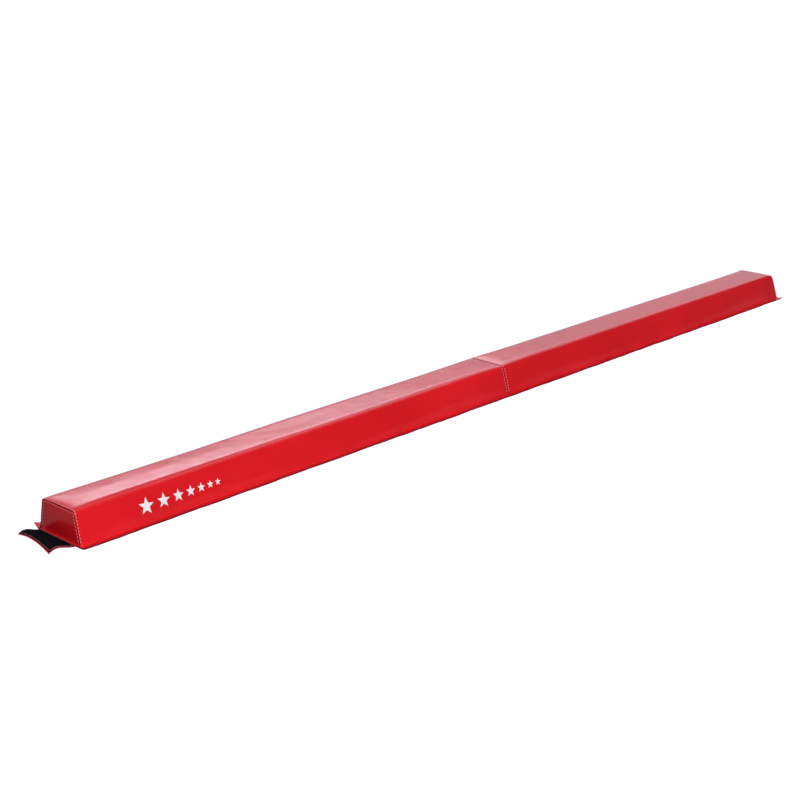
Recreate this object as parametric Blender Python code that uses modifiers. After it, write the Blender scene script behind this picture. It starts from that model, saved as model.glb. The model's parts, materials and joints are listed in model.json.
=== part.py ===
"""A folding gymnastics floor beam, in metres, +Z up.

Two long foam blocks in sewn vinyl covers lie end to end and fold under one another about a
sheet of vinyl that runs beneath both. A hook-and-loop flap on one end joins a second beam.
Each half is modelled in its own frame, with its inner end at x = 0 and its outer end
towards +X. The left half is that same half turned round by its parent empty.
"""

import math

import bmesh
import bpy

MM = 0.001

# The beam as a whole
BEAM_LENGTH = 2.400
TOP_WIDTH = 100 * MM
BODY_WIDTH = 138 * MM
HEIGHT = 65 * MM
SIDE_FLANGE = 13.5 * MM
END_FLANGE = 2.5 * MM
END_LEAN = 3.5 * MM
TOP_EDGE_RADIUS = 8 * MM
FLANGE_ROOT_RADIUS = 2 * MM

# Sheet goods and sewing
SHEET = 1.0 * MM
GAP = 0.3 * MM
THREAD_RADIUS = 0.3 * MM
SEAM_TO_STITCH = 2.5 * MM
FLANGE_EDGE_TO_STITCH = 4.5 * MM

# The fold in the middle
FOLD_HALF_GAP = 1.2 * MM
FOLD_AXIS_DROP = 0.2 * MM
BASE_HALF_GAP = 0.3 * MM

# The hook-and-loop connector
PAD_LENGTH = 50 * MM
HOOK_PAD_WIDTH = 108 * MM
HOOK_PAD_THICKNESS = 1.2 * MM
HOOK_PAD_TO_END = 8 * MM
FLAP_LENGTH = 50 * MM
FLAP_WIDTH = 112 * MM
FLAP_RISE = 6 * MM
FLAP_CLEARANCE = 0.8 * MM
LOOP_PAD_THICKNESS = 1.6 * MM
LOOP_PAD_MARGIN = 1.5 * MM
FLAP_MIN_SEGMENTS = 12

# The printed stars on the front
STAR_COUNT = 7
STAR_FIRST_RADIUS = 17 * MM
STAR_SHRINK = 0.86
STAR_SPACING = 1.28
STAR_INNER_SHARE = 0.42
STAR_TILT = math.radians(8)
STAR_THICKNESS = 0.2 * MM
STARS_TO_END = 156 * MM
STAR_HEIGHT_SHARE = 0.46

ARC_STEPS = 6
THREAD_RESOLUTION = 2

# What follows is worked out from the sizes above
HALF_LENGTH = BEAM_LENGTH / 2
LIP_BOTTOM = SHEET + GAP
LIP_TOP = LIP_BOTTOM + SHEET
FLANGE_EDGE = BODY_WIDTH / 2 + SIDE_FLANGE
SIDE_NORMAL_ANGLE = math.atan2((BODY_WIDTH - TOP_WIDTH) / 2, HEIGHT - LIP_TOP)
SIDE_NORMAL = (math.cos(SIDE_NORMAL_ANGLE), math.sin(SIDE_NORMAL_ANGLE))
SIDE_OFFSET = SIDE_NORMAL[0] * BODY_WIDTH / 2 + SIDE_NORMAL[1] * LIP_TOP
THREAD_LIFT = GAP + THREAD_RADIUS
FLAP_AXIS_X = HALF_LENGTH + END_FLANGE + FLAP_CLEARANCE
FLAP_AXIS_Z = (LIP_BOTTOM + LIP_TOP) / 2
FLAP_TIP_SLOPE = (LIP_BOTTOM + math.pi * FLAP_RISE) / FLAP_LENGTH
FLAP_REACH = FLAP_CLEARANCE + FLAP_LENGTH + SHEET * math.sin(math.atan(FLAP_TIP_SLOPE))
FOLD_X = FLAP_REACH / 2

VINYL = ("red_vinyl", (0.70, 0.014, 0.022, 1), 0.32)
BASE_VINYL = ("base_vinyl", (0.55, 0.012, 0.018, 1), 0.5)
FOAM = ("foam", (0.86, 0.86, 0.84, 1), 0.9)
THREAD = ("thread", (0.80, 0.09, 0.10, 1), 0.6)
LOOP_PILE = ("loop_pile", (0.008, 0.008, 0.009, 1), 0.95)
HOOK_TAPE = ("hook_tape", (0.012, 0.012, 0.013, 1), 0.7)
PRINT = ("print_film", (0.85, 0.82, 0.84, 1), 0.4)


def clear_scene():
    for obj in list(bpy.data.objects):
        bpy.data.objects.remove(obj, do_unlink=True)


def new_collection(name):
    collection = bpy.data.collections.new(name)
    bpy.context.scene.collection.children.link(collection)
    return collection


def material(look):
    """The Principled material of that look, made once."""
    name, colour, roughness = look
    found = bpy.data.materials.get(name)
    if found:
        return found
    made = bpy.data.materials.new(name)
    made.use_nodes = True
    shader = made.node_tree.nodes["Principled BSDF"]
    shader.inputs["Base Color"].default_value = colour
    shader.inputs["Roughness"].default_value = roughness
    shader.inputs["Metallic"].default_value = 0
    made.diffuse_color = colour
    return made


def empty(name, location, turned=0.0, parent=None):
    made = bpy.data.objects.new(name, None)
    made.location = location
    made.rotation_euler.z = turned
    made.parent = parent
    parts.objects.link(made)
    return made


def add(name, data, look, parent, collection=None):
    made = bpy.data.objects.new(name, data)
    made.parent = parent
    if look:
        data.materials.append(material(look))
    (collection or parts).objects.link(made)
    return made


def mesh_of(bm, name):
    bmesh.ops.recalc_face_normals(bm, faces=bm.faces)
    mesh = bpy.data.meshes.new(name)
    bm.to_mesh(mesh)
    bm.free()
    return mesh


def solidify(obj, thickness, offset=-1.0):
    """Gives an open surface its thickness, inwards from its face normals at offset -1."""
    modifier = obj.modifiers.new("thickness", "SOLIDIFY")
    modifier.thickness = thickness
    modifier.offset = offset
    modifier.use_even_offset = True


def boolean(obj, cutter, operation):
    modifier = obj.modifiers.new(operation.lower(), "BOOLEAN")
    modifier.operation = operation
    modifier.object = cutter


def box(name, low, high, look, parent, collection=None):
    """A box between two corners, as an object with its origin at its parent's."""
    bm = bmesh.new()
    bmesh.ops.create_cube(bm, size=1)
    for vertex in bm.verts:
        vertex.co = [
            (low[k] + high[k]) / 2 + vertex.co[k] * (high[k] - low[k]) for k in range(3)
        ]
    return add(name, mesh_of(bm, name), look, parent, collection)


def cutter_box(name, low, high, parent):
    made = box(name, low, high, None, parent, cutters)
    made.hide_render = True
    made.display_type = "WIRE"
    return made


def thread(name, points, parent, closed=False):
    """A row of stitching, as one thin thread lying on the vinyl."""
    curve = bpy.data.curves.new(name, "CURVE")
    curve.dimensions = "3D"
    curve.bevel_depth = THREAD_RADIUS
    curve.bevel_resolution = THREAD_RESOLUTION
    curve.use_fill_caps = not closed
    spline = curve.splines.new("POLY")
    spline.points.add(len(points) - 1)
    for point, place in zip(spline.points, points):
        point.co = (*place, 1)
    spline.use_cyclic_u = closed
    return add(name, curve, THREAD, parent)


def arc(centre, radius, start, end, steps=ARC_STEPS):
    """Points round an arc in the (y, z) plane, both ends included."""
    angles = [start + (end - start) * i / steps for i in range(steps + 1)]
    return [
        (centre[0] + radius * math.cos(t), centre[1] + radius * math.sin(t))
        for t in angles
    ]


def side_y(z, inset=0.0):
    """Where the sloping side is at a height, that far inside its outer face."""
    return (SIDE_OFFSET - inset - SIDE_NORMAL[1] * z) / SIDE_NORMAL[0]


def end_x(z):
    """Where the leaning outer end face is at a height."""
    return HALF_LENGTH - END_LEAN * (z - LIP_TOP) / (HEIGHT - LIP_TOP)


def top_corner(inset):
    """The rounded top edge on the +Y side, from the side up to the flat top."""
    centre_z = HEIGHT - TOP_EDGE_RADIUS
    centre = (side_y(centre_z, TOP_EDGE_RADIUS), centre_z)
    return arc(centre, TOP_EDGE_RADIUS - inset, SIDE_NORMAL_ANGLE, math.pi / 2)


def both_sides(right):
    """A +Y outline carried over the top to the -Y side."""
    return right + [(-y, z) for y, z in reversed(right)]


def section(inset, bottom):
    """The beam's section that far inside its outer face, from its bottom +Y corner over the top."""
    return both_sides([(side_y(bottom, inset), bottom), *top_corner(inset)])


def flange_root():
    """The small radius where the side turns out into the sewn flange."""
    centre_z = LIP_TOP + FLANGE_ROOT_RADIUS
    centre = (side_y(centre_z, -FLANGE_ROOT_RADIUS), centre_z)
    return arc(centre, FLANGE_ROOT_RADIUS, -math.pi / 2, SIDE_NORMAL_ANGLE - math.pi)


def cover_panel(name, parent):
    """One sheet over both sides and the top, turned out at the bottom into the side flanges."""
    outline = both_sides([(FLANGE_EDGE, LIP_TOP), *flange_root(), *top_corner(0)])
    bm = bmesh.new()
    inner = [bm.verts.new((FOLD_HALF_GAP, y, z)) for y, z in outline]
    edges = [bm.edges.new(pair) for pair in zip(inner, inner[1:])]
    swept = bmesh.ops.extrude_edge_only(bm, edges=edges)["geom"]
    for vertex in (v for v in swept if isinstance(v, bmesh.types.BMVert)):
        on_flange = vertex.co.z < LIP_TOP + FLANGE_ROOT_RADIUS / 4
        vertex.co.x = HALF_LENGTH + END_FLANGE if on_flange else end_x(vertex.co.z)
    mesh = mesh_of(bm, name)
    if max(mesh.polygons, key=lambda face: face.area).normal.z < 0:
        mesh.flip_normals()
    cover = add(name, mesh, VINYL, parent)
    solidify(cover, SHEET)
    return cover


def end_panel(name, parent, outer):
    """The trapezoid that closes an end. The outer one has a lip turned out over the base."""
    bottom = LIP_TOP if outer else LIP_BOTTOM
    outline = section(SHEET + GAP, bottom)
    bm = bmesh.new()
    verts = [
        bm.verts.new((end_x(z) if outer else FOLD_HALF_GAP, y, z)) for y, z in outline
    ]
    bm.faces.new(verts)
    bm.normal_update()
    if (bm.faces[:][0].normal.x > 0) != outer:
        bmesh.ops.reverse_faces(bm, faces=bm.faces)
    if outer:
        bottom_edge = bm.edges.get((verts[0], verts[-1]))
        lip = bmesh.ops.extrude_edge_only(bm, edges=[bottom_edge])["geom"]
        for vertex in (v for v in lip if isinstance(v, bmesh.types.BMVert)):
            vertex.co.x = HALF_LENGTH + END_FLANGE
    mesh = bpy.data.meshes.new(name)
    bm.to_mesh(mesh)
    bm.free()
    panel = add(name, mesh, VINYL, parent)
    solidify(panel, SHEET)
    return panel


def foam_core(name, parent):
    """The foam block, a close fit inside the cover and the two end panels."""
    start = FOLD_HALF_GAP + SHEET + GAP
    bm = bmesh.new()
    verts = [bm.verts.new((start, y, z)) for y, z in section(SHEET + GAP, LIP_BOTTOM)]
    face = bm.faces.new(verts)
    swept = bmesh.ops.extrude_face_region(bm, geom=[face])["geom"]
    for vertex in (v for v in swept if isinstance(v, bmesh.types.BMVert)):
        vertex.co.x = end_x(vertex.co.z) - SHEET - GAP
    return add(name, mesh_of(bm, name), FOAM, parent)


def base_panel(name, parent):
    """This half's share of the sheet that runs under both halves."""
    low = (BASE_HALF_GAP, -FLANGE_EDGE, 0)
    high = (HALF_LENGTH + END_FLANGE, FLANGE_EDGE, SHEET)
    return box(name, low, high, BASE_VINYL, parent)


def thread_over(name, parent, inset, at_height, bottom):
    """Stitching up one side, over the top and down the other, at the x that a height has."""
    path = section(inset, bottom)
    return thread(name, [(at_height(z), y, z) for y, z in path], parent)


def seam_threads(side, parent):
    """Every visible row of stitching on one half."""
    stitch_bottom = LIP_TOP + SEAM_TO_STITCH
    row_y = FLANGE_EDGE - FLANGE_EDGE_TO_STITCH
    row_z = LIP_TOP + THREAD_LIFT
    # The left half is turned round, so its front is on its own +Y side.
    front = 1 if side == "left" else -1
    for where, sign in (("front", front), ("back", -front)):
        ends = [(x, sign * row_y, row_z) for x in (SEAM_TO_STITCH, HALF_LENGTH)]
        thread(f"{side}_{where}_flange_thread", ends, parent)
    lip_x = HALF_LENGTH + END_FLANGE * 0.6
    lip_y = side_y(LIP_TOP) - SEAM_TO_STITCH
    lip_ends = [(lip_x, -lip_y, row_z), (lip_x, lip_y, row_z)]
    thread(f"{side}_end_flange_thread", lip_ends, parent)
    rows = (
        ("outer_cover", -THREAD_LIFT, lambda z: end_x(z) - SEAM_TO_STITCH),
        ("inner_cover", -THREAD_LIFT, lambda z: FOLD_HALF_GAP + SEAM_TO_STITCH),
        ("outer_end", SHEET + SEAM_TO_STITCH, lambda z: end_x(z) + THREAD_LIFT),
        ("inner_end", SHEET + SEAM_TO_STITCH, lambda z: FOLD_HALF_GAP - THREAD_LIFT),
    )
    for label, inset, at_height in rows:
        thread_over(f"{side}_{label}_thread", parent, inset, at_height, stitch_bottom)


def half(side, parent):
    """One foam block in its cover. Returns its base panel and foam core."""
    cover_panel(f"{side}_cover", parent)
    end_panel(f"{side}_outer_end_panel", parent, outer=True)
    end_panel(f"{side}_inner_end_panel", parent, outer=False)
    seam_threads(side, parent)
    return base_panel(f"{side}_base_panel", parent), foam_core(f"{side}_foam_core", parent)


def hook_pad(base, core, parent):
    """The hook pad under the right end. The base bulges up over it into a pocket in the foam."""
    far = HALF_LENGTH - HOOK_PAD_TO_END
    low = (far - PAD_LENGTH, -HOOK_PAD_WIDTH / 2)
    high = (far, HOOK_PAD_WIDTH / 2)

    def grown(by, bottom, top):
        return (low[0] - by, low[1] - by, bottom), (high[0] + by, high[1] + by, top)

    box("hook_pad", *grown(0, 0, HOOK_PAD_THICKNESS), HOOK_TAPE, parent)
    pocket = HOOK_PAD_THICKNESS + GAP
    bulge_top = pocket + SHEET
    bulge = cutter_box("base_bulge", *grown(GAP + SHEET, SHEET / 2, bulge_top), parent)
    recess = cutter_box("base_recess", *grown(GAP, -SHEET, pocket), parent)
    relief_size = grown(2 * GAP + SHEET, 0, bulge_top + GAP)
    relief = cutter_box("foam_relief", *relief_size, parent)
    boolean(base, bulge, "UNION")
    boolean(base, recess, "DIFFERENCE")
    boolean(core, relief, "DIFFERENCE")


def flap_height(share):
    """The height of the flap's underside, at that share of its length out from its hinge."""
    return LIP_BOTTOM * (1 - share) + FLAP_RISE * math.sin(math.pi * share)


def flap_normal(share):
    """The unit vector (x, z) up out of the flap's arch there."""
    rise = -LIP_BOTTOM + math.pi * FLAP_RISE * math.cos(math.pi * share)
    length = math.hypot(FLAP_LENGTH, rise)
    return -rise / length, FLAP_LENGTH / length


def on_flap(share, lift):
    """The point (x, z) on the arch at that share of its length, lifted off it, from the hinge."""
    nx, nz = flap_normal(share)
    x = share * FLAP_LENGTH + lift * nx
    return x, flap_height(share) + lift * nz - FLAP_AXIS_Z


def arched_sheet(name, start, end, width, lift, thickness, look, parent):
    """A sheet that follows the flap's arch, lifted off its underside."""
    steps = FLAP_MIN_SEGMENTS
    shares = [start + (end - start) * i / steps for i in range(steps + 1)]
    bm = bmesh.new()
    edge = [bm.verts.new((x, -width / 2, z)) for x, z in (on_flap(t, lift) for t in shares)]
    edges = [bm.edges.new(pair) for pair in zip(edge, edge[1:])]
    swept = bmesh.ops.extrude_edge_only(bm, edges=edges)["geom"]
    for vertex in (v for v in swept if isinstance(v, bmesh.types.BMVert)):
        vertex.co.y = width / 2
    mesh = mesh_of(bm, name)
    if mesh.polygons[0].normal.z < 0:
        mesh.flip_normals()
    sheet = add(name, mesh, look, parent)
    solidify(sheet, thickness, offset=1.0)
    return sheet


def connector_flap(parent):
    """The arched flap: vinyl below, loop pile above, and the stitching round the pile."""
    margin = LOOP_PAD_MARGIN / FLAP_LENGTH
    pad_width = FLAP_WIDTH - 2 * LOOP_PAD_MARGIN
    pad_lift = SHEET + GAP
    arched_sheet("flap", 0, 1, FLAP_WIDTH, 0, SHEET, VINYL, parent)
    pad_span = (margin, 1 - margin)
    arched_sheet(
        "loop_pad", *pad_span, pad_width, pad_lift, LOOP_PAD_THICKNESS, LOOP_PILE, parent
    )
    stitch = 3 * margin
    lift = pad_lift + LOOP_PAD_THICKNESS + THREAD_LIFT
    row_y = pad_width / 2 - LOOP_PAD_MARGIN
    steps = FLAP_MIN_SEGMENTS
    shares = [stitch + (1 - 2 * stitch) * i / steps for i in range(steps + 1)]
    out = [on_flap(share, lift) for share in shares]
    loop = [(x, row_y, z) for x, z in out] + [(x, -row_y, z) for x, z in reversed(out)]
    thread("loop_pad_thread", loop, parent, closed=True)


def star(name, radius, place, parent):
    """One printed star. Its outline lies in the plane of the front side, a film on the vinyl."""
    curve = bpy.data.curves.new(name, "CURVE")
    curve.dimensions = "2D"
    curve.fill_mode = "BOTH"
    curve.extrude = STAR_THICKNESS / 2
    spline = curve.splines.new("POLY")
    spline.points.add(9)
    for i, point in enumerate(spline.points):
        reach = radius if i % 2 == 0 else radius * STAR_INNER_SHARE
        angle = math.pi / 2 + math.pi * i / 5 + STAR_TILT
        point.co = (reach * math.cos(angle), reach * math.sin(angle), 0, 1)
    spline.use_cyclic_u = True
    made = add(name, curve, PRINT, parent)
    made.location = place
    made.rotation_euler = (math.pi / 2 - SIDE_NORMAL_ANGLE, 0, math.pi)
    return made


def printed_stars(parent):
    """A row of stars that get smaller towards the middle of the beam."""
    height = LIP_TOP + (HEIGHT - LIP_TOP) * STAR_HEIGHT_SHARE
    lift = GAP + STAR_THICKNESS / 2
    radius = STAR_FIRST_RADIUS
    x = HALF_LENGTH - STARS_TO_END
    for i in range(STAR_COUNT):
        z = height + lift * SIDE_NORMAL[1]
        star(f"print_star_{i + 1}", radius, (x, side_y(height) + lift * SIDE_NORMAL[0], z), parent)
        x -= radius * (1 + STAR_SHRINK) * STAR_SPACING
        radius *= STAR_SHRINK


def smooth_round_pieces():
    """Shades curved faces smooth and leaves the folds sharp."""
    for obj in parts.objects:
        if obj.type == "MESH":
            obj.data.shade_smooth()
            obj.data.set_sharp_from_angle(angle=math.radians(30))


clear_scene()
parts = new_collection("balance_beam")
cutters = new_collection("cutters")
left = empty("left_half", (FOLD_X, 0, 0), turned=math.pi)
fold_axis = empty("fold_axis", (FOLD_X, 0, -FOLD_AXIS_DROP))
right = empty("right_half", (0, 0, FOLD_AXIS_DROP), parent=fold_axis)
flap_axis = empty("flap_axis", (FLAP_AXIS_X, 0, FLAP_AXIS_Z), parent=left)
half("left", left)
right_base, right_core = half("right", right)
hook_pad(right_base, right_core, right)
connector_flap(flap_axis)
printed_stars(left)
smooth_round_pieces()
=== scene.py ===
"""The looks of a folding gymnastics floor beam: two foam blocks in sewn, glossy vinyl covers.

Each half is worked out by itself: u runs along it from the fold to its outer end, and y and z
are the beam's own. The left half's u runs towards -X, the right half's towards +X.
"""

import json
import math

import bmesh
import bpy
import numpy as np
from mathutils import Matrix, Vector, noise
from mathutils.bvhtree import BVHTree


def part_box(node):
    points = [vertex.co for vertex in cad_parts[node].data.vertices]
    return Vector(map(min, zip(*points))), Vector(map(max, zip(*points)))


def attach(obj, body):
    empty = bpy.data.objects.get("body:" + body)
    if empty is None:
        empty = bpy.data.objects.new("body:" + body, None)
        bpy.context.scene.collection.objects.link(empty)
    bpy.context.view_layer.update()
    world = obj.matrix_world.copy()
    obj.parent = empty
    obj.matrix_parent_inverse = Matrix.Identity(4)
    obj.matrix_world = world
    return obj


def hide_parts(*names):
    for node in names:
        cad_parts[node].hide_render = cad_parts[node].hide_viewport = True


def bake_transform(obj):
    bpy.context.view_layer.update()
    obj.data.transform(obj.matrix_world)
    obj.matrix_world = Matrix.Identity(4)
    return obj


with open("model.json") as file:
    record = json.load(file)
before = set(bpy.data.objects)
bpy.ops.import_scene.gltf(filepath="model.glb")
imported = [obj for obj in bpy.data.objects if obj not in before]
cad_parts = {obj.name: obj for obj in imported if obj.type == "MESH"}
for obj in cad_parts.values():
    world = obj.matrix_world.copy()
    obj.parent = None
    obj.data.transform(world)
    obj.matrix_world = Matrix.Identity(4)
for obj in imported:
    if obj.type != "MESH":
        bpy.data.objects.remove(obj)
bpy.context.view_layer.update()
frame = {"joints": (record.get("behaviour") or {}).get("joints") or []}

MM = 0.001
SIDES = {"left": -1, "right": 1}
JOINTS = {joint["name"]: joint for joint in frame["joints"]}

# Sizes read from the frame
COVER_LOW, COVER_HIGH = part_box("right_cover")
FOLD_X = JOINTS["fold"]["pos_m"][0]
FLAP_AXIS = Vector(JOINTS["flap_hinge"]["pos_m"])
HEIGHT = COVER_HIGH.z
LIP_BOTTOM = COVER_LOW.z
FLANGE_EDGE = COVER_HIGH.y
FOLD_HALF_GAP = COVER_LOW.x - FOLD_X
END_REACH = COVER_HIGH.x - FOLD_X

# Sizes of the section and the sheet goods, as the solids have them
TOP_WIDTH = 100 * MM
BODY_WIDTH = 138 * MM
END_FLANGE = 2.5 * MM
END_LEAN = 3.5 * MM
TOP_EDGE_RADIUS = 8 * MM
FLANGE_ROOT_RADIUS = 2 * MM
SHEET = 1 * MM
SEAM_TO_STITCH = 2.5 * MM
FLANGE_EDGE_TO_STITCH = 4.5 * MM
LIP_TOP = LIP_BOTTOM + SHEET
HALF_LENGTH = END_REACH - END_FLANGE
SIDE_ANGLE = math.atan2((BODY_WIDTH - TOP_WIDTH) / 2, HEIGHT - LIP_TOP)
SIDE_COS, SIDE_SIN = math.cos(SIDE_ANGLE), math.sin(SIDE_ANGLE)
SIDE_OFFSET = SIDE_COS * BODY_WIDTH / 2 + SIDE_SIN * LIP_TOP
FLANGE_STITCH_Y = FLANGE_EDGE - FLANGE_EDGE_TO_STITCH

# The back of the left end: how far its foot is drawn in and its top sags, and over what lengths
LEFT_END = FOLD_X - HALF_LENGTH
DRAW = 11 * MM
DRAW_LENGTH = 240 * MM
SLACK = 1.8 * MM
SLACK_LENGTH = 620 * MM

# How finely the soft pieces are divided
SIDE_STEPS = 12
ARC_STEPS = 6
TOP_STEPS = SIDE_STEPS + ARC_STEPS
SIM_STATION = 10 * MM
STATION = 7 * MM

# The inflating of the covers over the foam
PRESSURE = 4.0
SIM_FRAMES = 20
COVER_CROWN = 2.0 * MM
OUTER_PANEL_CROWN = 4.0 * MM
INNER_PANEL_CROWN = 0.5 * MM

# How strong the painted edge shade is one row of points in from a sheet's edge, as a share of that
# at the edge itself
EDGE_SHADE_INWARD = 0.6

# Stitching
STITCH_PITCH = 6.5 * MM
STITCH_LENGTH = 4.3 * MM
THREAD_RADIUS = 0.45 * MM
LIP_THREAD_RADIUS = 0.3 * MM
UNDER_THREAD_RADIUS = 0.2 * MM
PAD_THREAD_RADIUS = 0.36 * MM
PAD_STITCH_PITCH = 4.6 * MM
UP, DOWN = (0, 0, 1), (0, 0, -1)


# ---- the beam's section


def side_y(z, inset=0.0):
    """Where the sloping side is at a height, that far inside its outer face."""
    return (SIDE_OFFSET - inset - SIDE_SIN * z) / SIDE_COS


ARC_Z = HEIGHT - TOP_EDGE_RADIUS
ARC_Y = side_y(ARC_Z, TOP_EDGE_RADIUS)
ROOT_Z = LIP_TOP + FLANGE_ROOT_RADIUS
ROOT_Y = side_y(ROOT_Z, -FLANGE_ROOT_RADIUS)
SIDE_FOOT = ROOT_Z - FLANGE_ROOT_RADIUS * SIDE_SIN


def end_u(z):
    """How far out the leaning end face is at a height."""
    return HALF_LENGTH - END_LEAN * (z - LIP_TOP) / (HEIGHT - LIP_TOP)


def arc(centre_y, centre_z, radius, start, end, steps):
    """Points (y, z) round an arc, both ends included."""
    angles = np.linspace(start, end, steps + 1)
    return np.stack([centre_y + radius * np.cos(angles), centre_z + radius * np.sin(angles)], 1)


def back_profile(inset=0.0, foot=SIDE_FOOT):
    """The +Y side and its top corner as (y, z) points, from the foot up."""
    shoulder = ARC_Z + (TOP_EDGE_RADIUS - inset) * SIDE_SIN
    heights = np.linspace(foot, shoulder, SIDE_STEPS + 1)[:-1]
    side = np.stack([side_y(heights, inset), heights], 1)
    corner = arc(ARC_Y, ARC_Z, TOP_EDGE_RADIUS - inset, SIDE_ANGLE, math.pi / 2, ARC_STEPS)
    return np.concatenate([side, corner])


def mirrored(points):
    """Section points (y, z) on the other side."""
    return points * np.array([-1.0, 1.0])


def body_ring(inset=0.0, foot=SIDE_FOOT):
    """The section from the front foot over the top to the back foot, as (y, z) points."""
    back = back_profile(inset, foot)
    front = mirrored(back)
    across = np.linspace(front[-1], back[-1], TOP_STEPS + 1)[1:-1]
    return np.concatenate([front, across, back[::-1]])


def edge_distance(y, z, inset):
    """How far a point of the end face is from the section's outline."""
    y = np.abs(y)
    to_side = SIDE_OFFSET - inset - SIDE_COS * y - SIDE_SIN * z
    to_top = HEIGHT - inset - z
    to_corner = TOP_EDGE_RADIUS - inset - np.hypot(y - ARC_Y, z - ARC_Z)
    toward = (y - ARC_Y) * SIDE_COS + (z - ARC_Z) * SIDE_SIN
    in_corner = (y > ARC_Y) & (z > ARC_Z + (y - ARC_Y) * math.tan(SIDE_ANGLE)) & (toward > 0)
    return np.where(in_corner, to_corner, np.minimum(to_side, to_top))


# ---- small helpers


def smoothstep(low, high, value):
    """0 below low, 1 above high, and smooth between them."""
    t = np.clip((np.asarray(value, float) - low) / (high - low), 0, 1)
    return t * t * (3 - 2 * t)


def bump(centre, width, value):
    """A smooth bump of height 1 at the centre."""
    return np.exp(-(((np.asarray(value, float) - centre) / width) ** 2))


def ripple(points, scale, seed):
    """Smooth noise from -1 to 1 at points of any shape (..., 3), with that wavelength."""
    flat = np.asarray(points, float).reshape(-1, 3) / scale
    shift = Vector((seed * 17.3, seed * 5.1, seed * 9.7))
    values = [noise.noise(Vector(point) + shift) for point in flat]
    return np.array(values).reshape(np.asarray(points).shape[:-1])


def grid_normals(points):
    """The unit normals of a grid of points (rows, columns, 3)."""
    normals = np.cross(np.gradient(points, axis=0), np.gradient(points, axis=1))
    return normals / np.maximum(np.linalg.norm(normals, axis=2, keepdims=True), 1e-12)


def quads(*corners):
    """Faces of four corners, from four arrays of point numbers."""
    return np.stack([corner.ravel() for corner in corners], 1)


def grid_faces(index):
    """The faces of a grid of point numbers."""
    return quads(index[:-1, :-1], index[1:, :-1], index[1:, 1:], index[:-1, 1:])


def read_off(grid, row, column):
    """The values of a grid (rows, columns, n) at places between its points."""
    low_row = np.minimum(row.astype(int), grid.shape[0] - 2)
    low_column = np.minimum(column.astype(int), grid.shape[1] - 2)
    a, b = (row - low_row)[..., None], (column - low_column)[..., None]
    return (
        grid[low_row, low_column] * (1 - a) * (1 - b)
        + grid[low_row + 1, low_column] * a * (1 - b)
        + grid[low_row, low_column + 1] * (1 - a) * b
        + grid[low_row + 1, low_column + 1] * a * b
    )


def drawn_in(points):
    """The back of the left end: its foot is drawn in by the sewing, and its top hangs slack."""
    x, y, z = points[..., 0], points[..., 1], points[..., 2]
    near = 1 - smoothstep(LEFT_END, LEFT_END + DRAW_LENGTH, x)
    low = np.clip(1 - z / HEIGHT, 0, 1)
    outward = smoothstep(0, BODY_WIDTH / 2 - DRAW, y)
    moved = np.array(points, float)
    moved[..., 1] -= DRAW * near * low * outward
    slack = 1 - smoothstep(LEFT_END + DRAW_LENGTH, LEFT_END + SLACK_LENGTH, x)
    back = np.clip(y / (TOP_WIDTH / 2), 0, 1)
    moved[..., 2] -= SLACK * slack * back**1.5 * np.clip(z / HEIGHT, 0, 1) ** 3
    return moved


def place(side, u, y, z):
    """Points of one half as x, y and z."""
    u, y, z = np.broadcast_arrays(u, y, z)
    return drawn_in(np.stack([FOLD_X + SIDES[side] * u, y, z], -1))


def mesh_object(name, verts, faces, sharp_degrees=50):
    """A smooth-shaded object, sharp where its faces meet at more than that angle."""
    mesh = bpy.data.meshes.new(name)
    mesh.from_pydata([tuple(v) for v in np.asarray(verts)], [], [tuple(f) for f in faces])
    bm = bmesh.new()
    bm.from_mesh(mesh)
    bmesh.ops.recalc_face_normals(bm, faces=bm.faces)
    bm.to_mesh(mesh)
    bm.free()
    mesh.shade_smooth()
    mesh.set_sharp_from_angle(angle=math.radians(sharp_degrees))
    made = bpy.data.objects.new(name, mesh)
    bpy.context.scene.collection.objects.link(made)
    return made


def thin_sheet(name, outer, inner, rim=0.3 * MM, cut_edge=0.0):
    """A closed sheet between two grids of points, with a rounded rim.

    The value on its points that the vinyl reads is painted shade: highest round the rim, it darkens
    the vinyl there as if shadowed in a seam or under an edge.
    """
    rows, columns = outer.shape[:2]
    count = rows * columns
    index = np.arange(count).reshape(rows, columns)
    faces = grid_faces(index)
    ring = np.concatenate([index[0], index[1:, -1], index[-1, -2::-1], index[-2:0:-1, 0]])
    inward = np.empty((rows, columns), int)
    inward[:] = index
    inward[0], inward[-1] = index[1], index[-2]
    inward[:, 0], inward[:, -1] = inward[:, 1], inward[:, -2]
    flat_outer, flat_inner = outer.reshape(-1, 3), inner.reshape(-1, 3)
    out = flat_outer[ring] - flat_outer[inward.ravel()[ring]]
    out /= np.maximum(np.linalg.norm(out, axis=1, keepdims=True), 1e-9)
    middle = (flat_outer[ring] + flat_inner[ring]) / 2 + out * rim
    verts = np.concatenate([flat_outer, flat_inner, middle])
    following = np.roll(ring, -1)
    mid = 2 * count + np.arange(len(ring))
    mid_following = np.roll(mid, -1)
    rim_top = np.stack([ring, following, mid_following, mid], 1)
    rim_bottom = np.stack([mid, mid_following, following + count, ring + count], 1)
    faces = np.concatenate([faces, faces[:, ::-1] + count, rim_top, rim_bottom])
    sheet = mesh_object(name, verts, faces)
    # Painted shade along the rim and the row just inside it, standing in for the shadow in the
    # seams and under the edges
    shade = np.zeros(len(verts), np.float32)
    shade[inward.ravel()[ring]] = EDGE_SHADE_INWARD * cut_edge
    shade[ring] = shade[ring + count] = shade[2 * count :] = cut_edge
    sheet.data.attributes.new("cut_edge", "FLOAT", "POINT").data.foreach_set("value", shade)
    return sheet


def surface_tree(obj):
    """The object's surface, to cast rays at."""
    return BVHTree.FromObject(obj, bpy.context.evaluated_depsgraph_get())


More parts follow.
